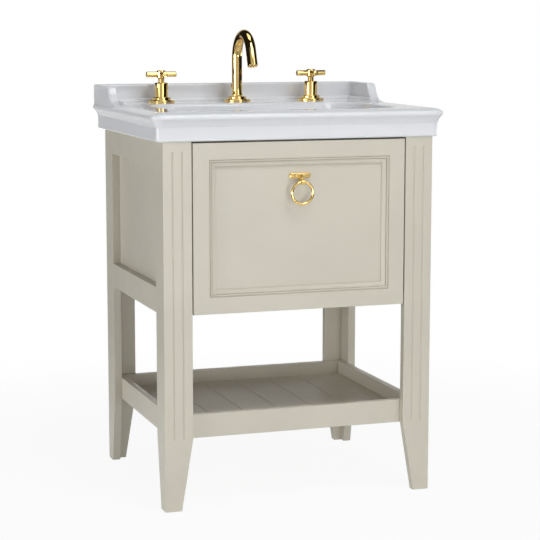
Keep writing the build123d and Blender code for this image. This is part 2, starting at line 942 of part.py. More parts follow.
def make_pivot_rod():
    """Tilted rod with its ball, from the plug's eye to the strap behind the bowl."""
    tilt = radians(pivot_tilt)
    outwards = Vector(0, cos(tilt), -sin(tilt))
    ball = Vector(0, pivot_y, pivot_z)
    start = ball - outwards * (pivot_inner_arm + pivot_tip)
    length = pivot_inner_arm + pivot_tip + pivot_outer_arm / cos(tilt) + pivot_rod_overrun
    with BuildPart() as rod:
        with BuildSketch(Plane(origin=start, x_dir=(1, 0, 0), z_dir=outwards)):
            Circle(pivot_rod_radius)
        extrude(amount=length)
        with Locations(ball):
            Sphere(pivot_ball)
    return rod


def make_waste_flange():
    """Flanged waste body with the slots that take the overflow water."""
    with BuildPart() as waste:
        add(turned(0, drain_y, [
            (waste_bore, tail_top),
            (waste_radius, tail_top),
            (waste_radius, bowl_floor),
            (flange_radius, bowl_floor),
            (flange_radius - flange_bevel, bowl_floor + flange_thickness),
            (waste_bore + flange_bevel, bowl_floor + flange_thickness),
            (waste_bore, bowl_floor + flange_thickness - flange_bevel),
        ]).part)
        slot_z = bowl_floor - bowl_wall - duct_depth / 2
        with BuildSketch(Plane.XZ.offset(-drain_y - waste_radius)):
            with Locations((0, slot_z)):
                SlotOverall(waste_radius, waste_slot)
        extrude(amount=2 * waste_radius, mode=Mode.SUBTRACT)
    return waste


def make_tail():
    """Lower waste body with the side port for the pivot rod, narrowed to the trap pipe."""
    port_end = pivot_y + pivot_ball - pivot_retain
    with BuildPart() as tail:
        with BuildSketch(upright(0, drain_y)):
            with BuildLine():
                Polyline(
                    (0, tail_foot - tail_dip),
                    (trap_pipe, tail_foot - tail_dip),
                    (trap_pipe, tail_foot),
                    (tail_radius, tail_foot + tail_taper),
                    (tail_radius, tail_top - tail_socket_floor),
                    (waste_radius + tail_socket_wall, tail_top - tail_socket_floor),
                    (waste_radius + tail_socket_wall, tail_top + tail_socket),
                    (0, tail_top + tail_socket),
                    close=True,
                )
            make_face()
        revolve(axis=upright_axis(0, drain_y))
        with BuildSketch(Plane(origin=(0, drain_y, pivot_z), x_dir=(1, 0, 0), z_dir=(0, 1, 0))):
            Circle(pivot_ball + pivot_port_wall)
        extrude(amount=port_end - drain_y)
        with BuildSketch(upright(0, drain_y)):
            with BuildLine():
                Polyline(
                    (0, tail_foot - tail_dip),
                    (trap_pipe - trap_pipe_wall, tail_foot - tail_dip),
                    (trap_pipe - trap_pipe_wall, tail_foot),
                    (tail_bore, tail_foot + tail_taper),
                    (tail_bore, tail_top),
                    (waste_radius, tail_top),
                    (waste_radius, tail_top + tail_socket),
                    (0, tail_top + tail_socket),
                    close=True,
                )
            make_face()
        revolve(axis=upright_axis(0, drain_y), mode=Mode.SUBTRACT)
        with BuildSketch(Plane(origin=(0, port_end, pivot_z), x_dir=(1, 0, 0), z_dir=(0, -1, 0))):
            Circle(pivot_ball + pivot_slack)
        extrude(amount=port_end - pivot_y + pivot_seat_depth, mode=Mode.SUBTRACT)
        with BuildSketch(Plane(origin=(0, port_end, pivot_z), x_dir=(1, 0, 0), z_dir=(0, -1, 0))):
            Circle(pivot_ball - pivot_retain)
        extrude(amount=port_end - drain_y, mode=Mode.SUBTRACT)
    return tail


def make_pivot_nut():
    """Cap nut that holds the ball in the port, coned out for the swing of the rod."""
    port_end = pivot_y + pivot_ball - pivot_retain
    outer = pivot_ball + pivot_port_wall + pivot_nut_wall
    mouth = Plane(origin=(0, port_end, pivot_z), x_dir=(1, 0, 0), z_dir=(0, 1, 0))
    with BuildPart() as nut:
        with BuildSketch(mouth.offset(-pivot_nut_skirt)):
            RegularPolygon(outer, 8, major_radius=False)
            Circle(pivot_ball + pivot_port_wall, mode=Mode.SUBTRACT)
        extrude(amount=pivot_nut_skirt)
        with BuildSketch(mouth):
            RegularPolygon(outer, 8, major_radius=False)
            Circle(pivot_ball - pivot_retain, mode=Mode.SUBTRACT)
        extrude(amount=pivot_nut_cap)
    return nut


def make_plug():
    """Pop-up plug: domed head, guide fins and a tail with the eye for the pivot rod."""
    seat = bowl_floor + flange_thickness + plug_lift + plug_seat_gap
    rod_end_z = pivot_z + pivot_inner_arm * sin(radians(pivot_tilt))
    with BuildPart() as plug:
        with BuildSketch(upright(0, drain_y)):
            with BuildLine():
                Polyline(
                    (0, rod_end_z - plug_foot),
                    (plug_stem, rod_end_z - plug_foot),
                    (plug_stem, seat),
                    (plug_radius - plug_bevel, seat),
                    (plug_radius, seat + plug_bevel),
                )
                TangentArc((0, seat + plug_head), (plug_radius, seat + plug_bevel), tangent=(1, 0))
                Line((0, seat + plug_head), (0, rod_end_z - plug_foot))
            make_face()
        revolve(axis=upright_axis(0, drain_y))
        with BuildSketch(Plane(origin=(0, drain_y, tail_top))):
            Rectangle(2 * tail_bore - plug_fin, plug_fin)
            Rectangle(plug_fin, 2 * tail_bore - plug_fin)
        extrude(amount=seat - tail_top)
        with BuildSketch(Plane.XZ.offset(-drain_y - 2 * plug_stem)):
            with Locations((0, rod_end_z)):
                Circle(pivot_rod_radius + plug_eye_slack)
        extrude(amount=4 * plug_stem, mode=Mode.SUBTRACT)
    return plug


def make_trap_body():
    """Bottle of the trap with its side branch and the dip ring under the inlet."""
    with BuildPart() as trap:
        with BuildSketch(upright(0, drain_y)):
            with BuildLine():
                Polyline(
                    (0, trap_foot),
                    (trap_radius, trap_foot),
                    (trap_radius, trap_top - trap_shoulder),
                    (trap_neck, trap_top - trap_neck_height),
                    (trap_neck, trap_top),
                    (0, trap_top),
                    close=True,
                )
            make_face()
        revolve(axis=upright_axis(0, drain_y))
        with BuildSketch(Plane(origin=(0, drain_y, trap_outlet_z), x_dir=(1, 0, 0), z_dir=(0, 1, 0))):
            Circle(trap_neck)
        extrude(amount=branch_end - drain_y)
        with BuildSketch(upright(0, drain_y)):
            with BuildLine():
                Polyline(
                    (0, trap_foot),
                    (trap_radius - trap_wall, trap_foot),
                    (trap_radius - trap_wall, trap_top - trap_shoulder - 1),
                    (trap_pipe, trap_top - trap_neck_height - 1),
                    (trap_pipe, trap_top),
                    (0, trap_top),
                    close=True,
                )
            make_face()
        revolve(axis=upright_axis(0, drain_y), mode=Mode.SUBTRACT)
        with BuildSketch(Plane(origin=(0, drain_y, trap_outlet_z), x_dir=(1, 0, 0), z_dir=(0, 1, 0))):
            Circle(trap_pipe)
        extrude(amount=branch_end - drain_y, mode=Mode.SUBTRACT)
    return trap


def make_trap_cup():
    """Screwed cup that closes the foot of the trap, ribbed for the grip."""
    low = trap_foot + cup_overlap - trap_cup_height
    with BuildPart() as cup:
        with BuildSketch(Plane(origin=(0, drain_y, low))):
            RegularPolygon(trap_cup_radius, 12)
        extrude(amount=trap_cup_height)
        fillet(cup.edges().group_by(Axis.Z)[0], cup_floor)
        with BuildSketch(Plane(origin=(0, drain_y, trap_foot))):
            Circle(trap_radius)
        extrude(amount=cup_overlap, mode=Mode.SUBTRACT)
        with BuildSketch(Plane(origin=(0, drain_y, low + cup_floor))):
            Circle(trap_radius - trap_wall)
        extrude(amount=trap_cup_height, mode=Mode.SUBTRACT)
    return cup


def make_trap_nuts():
    """Ribbed nuts at the inlet and the outlet of the trap, each with a skirt and a rim."""
    level = Plane(origin=(0, drain_y, trap_top))
    outwards = Plane(origin=(0, branch_end, trap_outlet_z), x_dir=(1, 0, 0), z_dir=(0, 1, 0))
    with BuildPart() as nuts:
        for plane, bore, rim in ((level, trap_pipe, trap_seam),
                                 (outwards, trap_pipe - pipe_end_step, trap_nut_rim)):
            with BuildSketch(plane):
                RegularPolygon(trap_nut_radius, 12)
                Circle(bore, mode=Mode.SUBTRACT)
            extrude(amount=rim)
            with BuildSketch(plane.offset(-trap_nut_skirt)):
                RegularPolygon(trap_nut_radius, 12)
                Circle(trap_neck, mode=Mode.SUBTRACT)
            extrude(amount=trap_nut_skirt)
    return nuts


def make_outlet_pipe():
    """Straight pipe from the trap to the wall, stepped down where the nut holds it."""
    start = drain_y + trap_radius + trap_seam
    shoulder = branch_end + trap_nut_rim
    with BuildPart() as pipe:
        with BuildSketch(Plane(origin=(0, start, trap_outlet_z), x_dir=(1, 0, 0), z_dir=(0, 1, 0))):
            Circle(trap_pipe - pipe_end_step)
        extrude(amount=shoulder - start)
        with BuildSketch(Plane(origin=(0, shoulder, trap_outlet_z), x_dir=(1, 0, 0), z_dir=(0, 1, 0))):
            Circle(trap_pipe)
        extrude(amount=wall_y - shoulder)
        with BuildSketch(Plane(origin=(0, start, trap_outlet_z), x_dir=(1, 0, 0), z_dir=(0, 1, 0))):
            Circle(trap_pipe - trap_pipe_wall)
        extrude(amount=wall_y - start, mode=Mode.SUBTRACT)
    return pipe


def make_drawer_front():
    """Drawer front with a flat frame, a beaded step, a slope and a recessed panel."""
    half = leg_inner_x - front_gap
    top = cabinet_height - front_top_gap
    centre_z = (top + carcass_bottom) / 2
    height = top - carcass_bottom

    def inset(plane_y, margin):
        with BuildSketch(Plane(origin=(0, plane_y, centre_z), x_dir=(1, 0, 0), z_dir=(0, -1, 0))) as face:
            Rectangle(2 * (half - margin), height - 2 * margin)
        return face.sketch

    with BuildPart() as front:
        extrude(inset(front_y, 0), amount=-front_thickness)
        chamfer(front.edges().group_by(Axis.Y)[0], front_bevel)
        extrude(inset(front_y, frame_margin), amount=-bead_depth, mode=Mode.SUBTRACT)
        slope = frame_margin + frame_bead + frame_slope
        loft([inset(front_y + bead_depth, frame_margin + frame_bead), inset(front_y + panel_depth, slope)],
             ruled=True, mode=Mode.SUBTRACT)
        with BuildSketch(Plane.XZ.offset(-panel_y)):
            with Locations(*pull_screw_places):
                Circle(screw_radius)
        extrude(amount=-(front_thickness - panel_depth), mode=Mode.SUBTRACT)
        with BuildSketch(Plane.XZ.offset(-front_y - front_thickness)):
            with Locations(*box_screw_places):
                Circle(screw_radius)
        extrude(amount=screw_length - box_board, mode=Mode.SUBTRACT)
    return front


def make_box_front():
    """Front board of the drawer box, drilled for the screws that hold the moulded front."""
    with BuildPart() as piece:
        add(board_between((-box_half + box_board, box_start, box_low),
                          (box_half - box_board, box_start + box_board, box_top)).part)
        with BuildSketch(Plane.XZ.offset(-box_start)):
            with Locations(*box_screw_places):
                Circle(screw_radius)
        extrude(amount=-box_board, mode=Mode.SUBTRACT)
        add(board_between((-box_half + box_board, box_start + box_board - floor_tongue, floor_low),
                          (box_half - box_board, box_start + box_board, floor_top)).part,
            mode=Mode.SUBTRACT)
    return piece


def make_box_side():
    """Left side of the drawer box, grooved for the floor, with its upper edges rounded."""
    with BuildPart() as side:
        with BuildSketch(Plane.XZ.offset(-box_start)):
            with Locations((-box_half, box_low)):
                Rectangle(box_board, box_height, align=(Align.MIN, Align.MIN))
            with Locations((-box_half + box_board, floor_low)):
                Rectangle(floor_tongue, floor_thickness, align=(Align.MAX, Align.MIN), mode=Mode.SUBTRACT)
        extrude(amount=-box_length)
        fillet(side.edges().filter_by(Axis.Y).group_by(Axis.Z)[-1], box_edge_round)
    return side


def make_box_floor():
    """Drawer floor in the grooves, cut out in a U round the waste."""
    edge = box_half - box_board + floor_tongue
    low_y = box_start + box_board - floor_tongue
    with BuildPart() as piece:
        with BuildSketch(Plane.XY.offset(floor_low)):
            with Locations((0, low_y)):
                Rectangle(2 * edge, box_end - low_y, align=(Align.CENTER, Align.MIN))
            with Locations((0, notch_front)):
                Rectangle(2 * notch_half_width, box_end - notch_front,
                          align=(Align.CENTER, Align.MIN), mode=Mode.SUBTRACT)
        extrude(amount=floor_thickness)
    return piece


def make_box_backs():
    """Two back boards of the drawer box, one on each side of the cut-out."""
    with BuildPart() as backs:
        for side in (-1, 1):
            near = side * (notch_half_width + liner)
            far = side * (box_half - box_board)
            with BuildSketch(Plane.XY.offset(floor_top)):
                with Locations(((near + far) / 2, box_end - box_board / 2)):
                    Rectangle(abs(far - near), box_board)
            extrude(amount=box_top - floor_top)
    return backs


def make_notch_liner():
    """U-shaped wall that fences the cut-out: two long boards and a short one across."""
    outer = notch_half_width + liner
    with BuildPart() as walls:
        for side in (-1, 1):
            with BuildSketch(Plane.XY.offset(floor_top)):
                with Locations((side * (notch_half_width + liner / 2), notch_front)):
                    Rectangle(liner, box_end - notch_front, align=(Align.CENTER, Align.MIN))
            extrude(amount=box_top - floor_top, clean=False)
        with BuildSketch(Plane.XY.offset(floor_top)):
            with Locations((0, notch_front)):
                Rectangle(2 * outer, liner, align=(Align.CENTER, Align.MAX))
        extrude(amount=box_top - floor_top, clean=False)
    return walls


def runner_section(piece):
    """Half of a runner member's section: distance from the cabinet side, height from its centre."""
    sheet = runner_sheet
    play = runner_play
    top = runner_height / 2
    channel_lip = top - runner_lip
    middle_top = top - sheet - play
    middle_low = sheet + play
    middle_high = runner_thickness - 3 * sheet - 2 * play
    slide_top = middle_top - sheet - play
    slide_low = middle_low + sheet + play
    slide_high = middle_high - sheet - play
    neck = slide_top - runner_lip
    sections = {
        "channel": [
            (0, 0), (0, top), (middle_high + play + sheet, top),
            (middle_high + play + sheet, channel_lip), (middle_high + play, channel_lip),
            (middle_high + play, top - sheet), (sheet, top - sheet), (sheet, 0),
        ],
        "middle": [
            (middle_low, 0), (middle_low, middle_top), (middle_high, middle_top),
            (middle_high, neck + play), (middle_high - sheet, neck + play),
            (middle_high - sheet, middle_top - sheet), (middle_low + sheet, middle_top - sheet),
            (middle_low + sheet, 0),
        ],
        "slide": [
            (slide_low, 0), (slide_low, slide_top), (slide_high, slide_top),
            (slide_high, slide_top - slide_lip), (slide_high - sheet, slide_top - slide_lip),
            (slide_high - sheet, slide_top - sheet), (slide_low + sheet, slide_top - sheet),
            (slide_low + sheet, neck), (runner_thickness, neck), (runner_thickness, 0),
            (runner_thickness - sheet, 0), (runner_thickness - sheet, neck - sheet),
            (slide_low + sheet, neck - sheet), (slide_low + sheet, 0),
        ],
    }
    return sections[piece]


def make_runner(piece):
    """Left runner member: its section, doubled about its centre, along the cabinet."""
    half = runner_section(piece)
    section = Plane(origin=(-leg_inner_x, runner_start, runner_z), x_dir=(1, 0, 0), z_dir=(0, -1, 0))
    with BuildPart() as runner:
        with BuildSketch(section):
            with BuildLine():
                Polyline(*half, close=True)
            make_face()
            mirror(about=Plane.XZ)
        extrude(amount=-runner_length)
    return runner


def make_pull_plate():
    """Round-ended bar on the drawer front with the eye that carries the ring."""
    with BuildPart() as plate:
        with BuildSketch(Plane.XZ.offset(-panel_y)):
            with Locations((0, pull_z)):
                SlotOverall(pull_width, pull_height)
        extrude(amount=pull_thickness)
        fillet(plate.edges().group_by(Axis.Y)[0], pull_edge_round)
        with BuildSketch(Plane.YZ.offset(-eye_width / 2)):
            with BuildLine():
                Polyline(
                    (panel_y - pull_thickness / 2, pull_z + pull_height / 2 - post_top_margin),
                    (panel_y - pull_thickness / 2, pull_z - pull_height / 2 + post_low_margin),
                    (eye_y + pull_foot_set, eye_z - post_foot_reach),
                    (eye_y - post_reach, eye_z + post_reach),
                    close=True,
                )
            make_face()
            with Locations((eye_y, eye_z)):
                Circle(eye_radius)
        extrude(amount=eye_width)
        with BuildSketch(Plane.YZ.offset(-eye_width)):
            with Locations((eye_y, eye_z)):
                Circle(ring_wire + eye_slack)
        extrude(amount=2 * eye_width, mode=Mode.SUBTRACT)
        with BuildSketch(Plane.XZ.offset(-panel_y)):
            with Locations(*pull_screw_places):
                Circle(screw_radius)
        extrude(amount=pull_thickness - pull_cover, mode=Mode.SUBTRACT)
    return plate


def make_pull_ring():
    """Round ring hanging in the eye."""
    centre = (0, eye_y, eye_z - ring_radius)
    with BuildPart() as ring:
        with BuildSketch(Plane(origin=centre, x_dir=(1, 0, 0), z_dir=(0, 0, 1))):
            with Locations((ring_radius, 0)):
                Circle(ring_wire)
        revolve(axis=Axis(centre, (0, 1, 0)))
    return ring


def make_screw(places, head_y, length):
    """Pan-head screws driven towards the front, with their heads on one plane."""
    with BuildPart() as screws:
        with BuildSketch(Plane.XZ.offset(-head_y)):
            with Locations(*places):
                Circle(screw_head)
        extrude(amount=-screw_head_height)
        with BuildSketch(Plane.XZ.offset(-head_y)):
            with Locations(*places):
                Circle(screw_radius)
        extrude(amount=length)
    return screws


# Carcass
front_leg = make_front_leg()
back_leg = make_back_leg()
save(front_leg, "leg_front_left")
save(mirrored(front_leg), "leg_front_right")
save(back_leg, "leg_back_left")
save(mirrored(back_leg), "leg_back_right")

side_panel = board_between((-panel_face_x, front_y + board, carcass_bottom),
                           (-panel_inner_x, back_y - board, cabinet_height))
save(side_panel, "side_panel_left")
save(mirrored(side_panel), "side_panel_right")

with BuildPart() as side_rails:
    for height in (carcass_bottom, cabinet_height - side_rail_height):
        with BuildSketch(Plane.XY.offset(height)):
            with Locations((-half_width, front_y + leg_face)):
                Rectangle(board, cabinet_depth - 2 * leg_face, align=(Align.MIN, Align.MIN))
        extrude(amount=side_rail_height)
save(side_rails, "side_rails_left")
save(mirrored(side_rails), "side_rails_right")

save(make_wall_rail((-leg_inner_x, back_y - board, cabinet_height - back_rail_height),
                    (leg_inner_x, back_y, cabinet_height)), "back_rail_top")
save(board_between((-leg_inner_x, back_y - board, carcass_bottom),
                   (leg_inner_x, back_y, carcass_bottom + side_rail_height)), "back_rail_bottom")

save(board_between((-panel_inner_x, runner_start, cabinet_height - stretcher_height),
                   (panel_inner_x, runner_start + stretcher_thickness, cabinet_height)),
     "front_stretcher_top")
save(board_between((-panel_inner_x, runner_start, carcass_bottom),
                   (panel_inner_x, runner_start + stretcher_height, carcass_bottom + stretcher_thickness)),
     "front_stretcher_bottom")

packer = board_between((-panel_inner_x, front_y + board, runner_z - packer_height / 2),
                       (-leg_inner_x, runner_start + runner_length, runner_z + packer_height / 2))
with BuildPart() as packers:
    add(packer.part)
    mirror(packer.part, about=Plane.YZ)
save(packers, "runner_packers")

# Tray shelf
tray_top = tray_bottom + tray_height
tray_front = front_y + board
tray_back = back_y - board
tray_inner_x = panel_face_x - tray_rail
tray_rail_left = board_between((-panel_face_x, tray_front, tray_bottom),
                               (-tray_inner_x, tray_back, tray_top))
save(tray_rail_left, "shelf_rail_left")
save(mirrored(tray_rail_left), "shelf_rail_right")
save(board_between((-tray_inner_x, tray_front, tray_bottom),
                   (tray_inner_x, tray_front + tray_rail, tray_top)), "shelf_rail_front")
save(board_between((-tray_inner_x, tray_back - tray_rail, tray_bottom),
                   (tray_inner_x, tray_back, tray_top)), "shelf_rail_back")
save(make_planks(), "shelf_planks")

with BuildPart() as battens:
    batten_top = tray_top - tray_drop - plank_thickness
    for low_y in (tray_front + tray_rail, tray_back - tray_rail - batten):
        with BuildSketch(Plane.XY.offset(tray_bottom)):
            with Locations((0, low_y)):
                Rectangle(2 * tray_inner_x, batten, align=(Align.CENTER, Align.MIN))
        extrude(amount=batten_top - tray_bottom)
save(battens, "shelf_battens")

# Basin and taps
save(make_basin(), "basin")
for side_name, tap_x in (("hot", -tap_spacing), ("cold", tap_spacing)):
    save(make_pillar(tap_x), f"{side_name}_pillar")
    save(make_valve(tap_x), f"{side_name}_valve")
    save(make_handle(tap_x), f"{side_name}_handle")
save(make_seals(), "rubber_seals")
save(make_locknuts(), "tap_locknuts")
save(make_spout_rosette(), "spout_rosette")
save(make_shank(), "spout_shank")
save(make_spout(), "spout")
save(make_aerator(), "spout_aerator")

# Waste, lift rod and trap
save(make_waste_flange(), "waste_flange")
with BuildPart() as backnut:
    with BuildSketch(Plane(origin=(0, drain_y, boss_bottom - waste_seal - backnut_height))):
        RegularPolygon(backnut_radius, 8)
        Circle(waste_radius, mode=Mode.SUBTRACT)
    extrude(amount=backnut_height)
save(backnut, "waste_backnut")
save(make_tail(), "waste_tail")
save(make_pivot_nut(), "pivot_nut")
save(make_plug(), "plug")
save(make_pivot_rod(), "pivot_rod")
save(make_lift_rod(), "lift_rod")
save(make_lift_strap(), "lift_strap")
save(make_trap_nuts(), "trap_nuts")
save(make_trap_body(), "trap_body")
save(make_trap_cup(), "trap_cup")
save(make_outlet_pipe(), "outlet_pipe")

# Drawer
save(make_drawer_front(), "drawer_front")
save(make_box_front(), "drawer_box_front")
box_side = make_box_side()
save(box_side, "drawer_side_left")
save(mirrored(box_side), "drawer_side_right")
save(make_box_floor(), "drawer_floor")
save(make_box_backs(), "drawer_backs")
save(make_notch_liner(), "drawer_liner")
for piece_name in ("channel", "middle", "slide"):
    runner = make_runner(piece_name)
    save(runner, f"runner_{piece_name}_left")
    save(mirrored(runner), f"runner_{piece_name}_right")
save(make_pull_plate(), "pull_plate")
save(make_pull_ring(), "pull_ring")
with BuildPart() as drawer_screws:
    add(make_screw(box_screw_places, box_start + box_board, screw_length).part)
    add(make_screw(pull_screw_places, front_y + front_thickness,
                   front_thickness - panel_depth + pull_thickness - pull_cover).part)
save(drawer_screws, "drawer_screws")
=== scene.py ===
import json
from math import cos, pi, radians, sin

import bmesh
import bpy
from mathutils import Matrix, Vector


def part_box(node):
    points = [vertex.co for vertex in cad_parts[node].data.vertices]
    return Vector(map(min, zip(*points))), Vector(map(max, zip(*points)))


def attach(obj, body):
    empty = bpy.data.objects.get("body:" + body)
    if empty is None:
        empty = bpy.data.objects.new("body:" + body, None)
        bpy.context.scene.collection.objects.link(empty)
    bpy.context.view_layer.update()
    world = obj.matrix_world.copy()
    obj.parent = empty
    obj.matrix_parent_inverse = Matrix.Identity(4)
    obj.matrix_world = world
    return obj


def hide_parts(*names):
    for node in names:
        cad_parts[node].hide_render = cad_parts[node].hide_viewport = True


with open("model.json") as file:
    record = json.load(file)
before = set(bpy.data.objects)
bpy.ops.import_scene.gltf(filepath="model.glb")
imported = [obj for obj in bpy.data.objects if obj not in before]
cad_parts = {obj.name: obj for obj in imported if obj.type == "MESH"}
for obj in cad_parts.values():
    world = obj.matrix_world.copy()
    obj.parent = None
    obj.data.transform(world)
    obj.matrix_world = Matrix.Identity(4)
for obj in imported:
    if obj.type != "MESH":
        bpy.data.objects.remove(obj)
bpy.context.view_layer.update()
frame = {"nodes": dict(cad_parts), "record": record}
nodes = frame["nodes"]
home = {node: body for body, members in frame["record"]["behaviour"]["bodies"].items() for node in members}
finish_of = {part["node"]: part["material_slot"] for part in frame["record"]["subparts"]}
scene = bpy.context.scene
MM = 0.001
WELD = 0.000002          # split points nearer than this are one point
FLAT_ANGLE = 0.6         # faces within this many degrees are one flat
ARRIS_ANGLE = 25         # edges sharper than this are rounded over
ROUNDED_ANGLE = 48       # shading stays smooth over a rounding


# ---- Materials ----

def surface(name, colour, roughness, metallic=0.0):
    """A Principled material with its constants on the shader's own sockets."""
    material = bpy.data.materials.new(name)
    material.use_nodes = True
    tree = material.node_tree
    shader = tree.nodes["Principled BSDF"]
    shader.inputs["Base Color"].default_value = (*colour, 1)
    shader.inputs["Roughness"].default_value = roughness
    shader.inputs["Metallic"].default_value = metallic
    return material, tree, shader


def noise(tree, stretch, detail=3.0, roughness=0.55, distortion=0.0):
    """Noise in the object's own metres, stretched by a factor per axis."""
    place = tree.nodes.new("ShaderNodeTexCoord")
    scaled = tree.nodes.new("ShaderNodeMapping")
    scaled.inputs["Scale"].default_value = stretch
    texture = tree.nodes.new("ShaderNodeTexNoise")
    texture.inputs["Scale"].default_value = 1.0
    texture.inputs["Detail"].default_value = detail
    texture.inputs["Roughness"].default_value = roughness
    texture.inputs["Distortion"].default_value = distortion
    tree.links.new(place.outputs["Object"], scaled.inputs["Vector"])
    tree.links.new(scaled.outputs["Vector"], texture.inputs["Vector"])
    return texture.outputs["Fac"]


def ramp(tree, source, stops):
    """Colour ramp over a source value."""
    node = tree.nodes.new("ShaderNodeValToRGB")
    band = node.color_ramp
    while len(band.elements) < len(stops):
        band.elements.new(0.5)
    for element, (place, colour) in zip(band.elements, stops):
        element.position = place
        element.color = (*colour, 1)
    tree.links.new(source, node.inputs["Fac"])
    return node.outputs["Color"]


def spread(tree, source, low, high):
    """Maps the middle of a noise value to a range."""
    node = tree.nodes.new("ShaderNodeMapRange")
    node.inputs["From Min"].default_value = 0.3
    node.inputs["From Max"].default_value = 0.7
    node.inputs["To Min"].default_value = low
    node.inputs["To Max"].default_value = high
    tree.links.new(source, node.inputs["Value"])
    return node.outputs["Result"]


def bumped(tree, shader, layers):
    """Bump layers of (height value, strength, distance), one over the other."""
    below = None
    for height, strength, distance in layers:
        node = tree.nodes.new("ShaderNodeBump")
        node.inputs["Strength"].default_value = strength
        node.inputs["Distance"].default_value = distance
        tree.links.new(height, node.inputs["Height"])
        if below is not None:
            tree.links.new(below, node.inputs["Normal"])
        below = node.outputs["Normal"]
    tree.links.new(below, shader.inputs["Normal"])


def along(axis, fine, coarse):
    """Stretch factors that draw a texture out along one axis."""
    return tuple(coarse if n == axis else fine for n in range(3))


def shade(colour, factor):
    """A colour made lighter or darker by a factor."""
    return tuple(min(1.0, part * factor) for part in colour)


def lacquer(axis):
    """Cream satin lacquer sprayed on timber, its grain just telegraphing through."""
    cream = (0.600, 0.568, 0.480)
    material, tree, shader = surface("cream_lacquer_" + "xyz"[axis], cream, 0.46)
    cloud = noise(tree, (5, 5, 5), 4)
    tint = ramp(tree, cloud, [(0.3, shade(cream, 0.965)), (0.7, shade(cream, 1.03))])
    tree.links.new(tint, shader.inputs["Base Color"])
    tree.links.new(spread(tree, noise(tree, (38, 38, 38), 5), 0.41, 0.52), shader.inputs["Roughness"])
    grain = noise(tree, along(axis, 620, 16), 4, 0.6, 0.3)
    peel = noise(tree, (1300, 1300, 1300), 2)
    bumped(tree, shader, [(grain, 0.10, 0.00018), (peel, 0.08, 0.00012)])
    shader.inputs["Specular IOR Level"].default_value = 0.5
    shader.inputs["Coat Weight"].default_value = 0.12
    shader.inputs["Coat Roughness"].default_value = 0.3
    return material


def birch(axis):
    """Clear-lacquered pale birch with visible grain along the board."""
    pale = (0.62, 0.455, 0.285)
    material, tree, shader = surface("birch_" + "xyz"[axis], pale, 0.5)
    bands = noise(tree, along(axis, 85, 3.2), 6, 0.62, 0.9)
    tint = ramp(tree, bands, [(0.25, shade(pale, 0.74)), (0.5, pale), (0.78, shade(pale, 1.12))])
    tree.links.new(tint, shader.inputs["Base Color"])
    fibre = noise(tree, along(axis, 900, 30), 3, 0.6)
    tree.links.new(spread(tree, fibre, 0.42, 0.58), shader.inputs["Roughness"])
    bumped(tree, shader, [(fibre, 0.18, 0.0002)])
    shader.inputs["Coat Weight"].default_value = 0.2
    shader.inputs["Coat Roughness"].default_value = 0.28
    return material


def ceramic():
    """White vitreous china under a clear glossy glaze."""
    white = (0.770, 0.785, 0.815)
    material, tree, shader = surface("glazed_ceramic", white, 0.07)
    cloud = noise(tree, (4, 4, 4), 3)
    tint = ramp(tree, cloud, [(0.3, shade(white, 0.985)), (0.7, shade(white, 1.01))])
    tree.links.new(tint, shader.inputs["Base Color"])
    tree.links.new(spread(tree, noise(tree, (60, 60, 60), 3), 0.05, 0.10), shader.inputs["Roughness"])
    flow = noise(tree, (26, 26, 26), 2)
    bumped(tree, shader, [(flow, 0.05, 0.0006)])
    shader.inputs["IOR"].default_value = 1.5
    shader.inputs["Specular IOR Level"].default_value = 0.42
    return material


def metal(name, colour, low, high, scratch, scale=(900, 900, 900)):
    """Metal whose gloss varies with fine handling marks."""
    material, tree, shader = surface(name, colour, (low + high) / 2, 1.0)
    cloud = noise(tree, (30, 30, 30), 4)
    tint = ramp(tree, cloud, [(0.3, shade(colour, 0.96)), (0.7, shade(colour, 1.03))])
    tree.links.new(tint, shader.inputs["Base Color"])
    tree.links.new(spread(tree, noise(tree, (55, 55, 55), 6, 0.65), low, high), shader.inputs["Roughness"])
    bumped(tree, shader, [(noise(tree, scale, 2), scratch, 0.00005)])
    return material


def rubber():
    """Matt black moulded rubber."""
    material, tree, shader = surface("black_rubber", (0.022, 0.022, 0.023), 0.75)
    grit = noise(tree, (700, 700, 700), 3)
    tint = ramp(tree, grit, [(0.3, (0.018, 0.018, 0.019)), (0.7, (0.030, 0.030, 0.031))])
    tree.links.new(tint, shader.inputs["Base Color"])
    tree.links.new(spread(tree, grit, 0.68, 0.85), shader.inputs["Roughness"])
    bumped(tree, shader, [(grit, 0.3, 0.0001)])
    return material


lacquers = [lacquer(axis) for axis in range(3)]
birches = [birch(axis) for axis in range(3)]
china = ceramic()
gold = metal("polished_gold", (0.93, 0.665, 0.255), 0.06, 0.12, 0.05)
brass = metal("plain_brass", (0.80, 0.60, 0.32), 0.24, 0.36, 0.16)
chrome = metal("chrome_plate", (0.82, 0.83, 0.85), 0.06, 0.13, 0.05)
zinc = metal("zinc_plated_steel", (0.60, 0.61, 0.62), 0.26, 0.40, 0.2, (260, 40, 900))
black_rubber = rubber()


def long_axis(node):
    """Number of the axis that a node's box is longest along."""
    low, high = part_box(node)
    sides = [high[n] - low[n] for n in range(3)]
    return sides.index(max(sides))


def finish(node):
    """The material that a node takes."""
    slot = finish_of[node]
    if slot == "cabinet_lacquer":
        return lacquers[long_axis(node)]
    if slot == "drawer_wood":
        return birches[long_axis(node)]
    return {"ceramic": china, "gold": gold, "plain_brass": brass, "steel": zinc, "chrome": chrome,
            "rubber": black_rubber}[slot]


# ---- Mesh helpers ----

def stands_for(mesh, name, *stood):
    """Puts a mesh in the scene as the piece that stands for CAD nodes of one body."""
    piece = bpy.data.objects.new(name, mesh)
    scene.collection.objects.link(piece)
    mesh.materials.clear()
    mesh.materials.append(finish(stood[0]))
    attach(piece, home[stood[0]])
    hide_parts(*stood)
    return piece


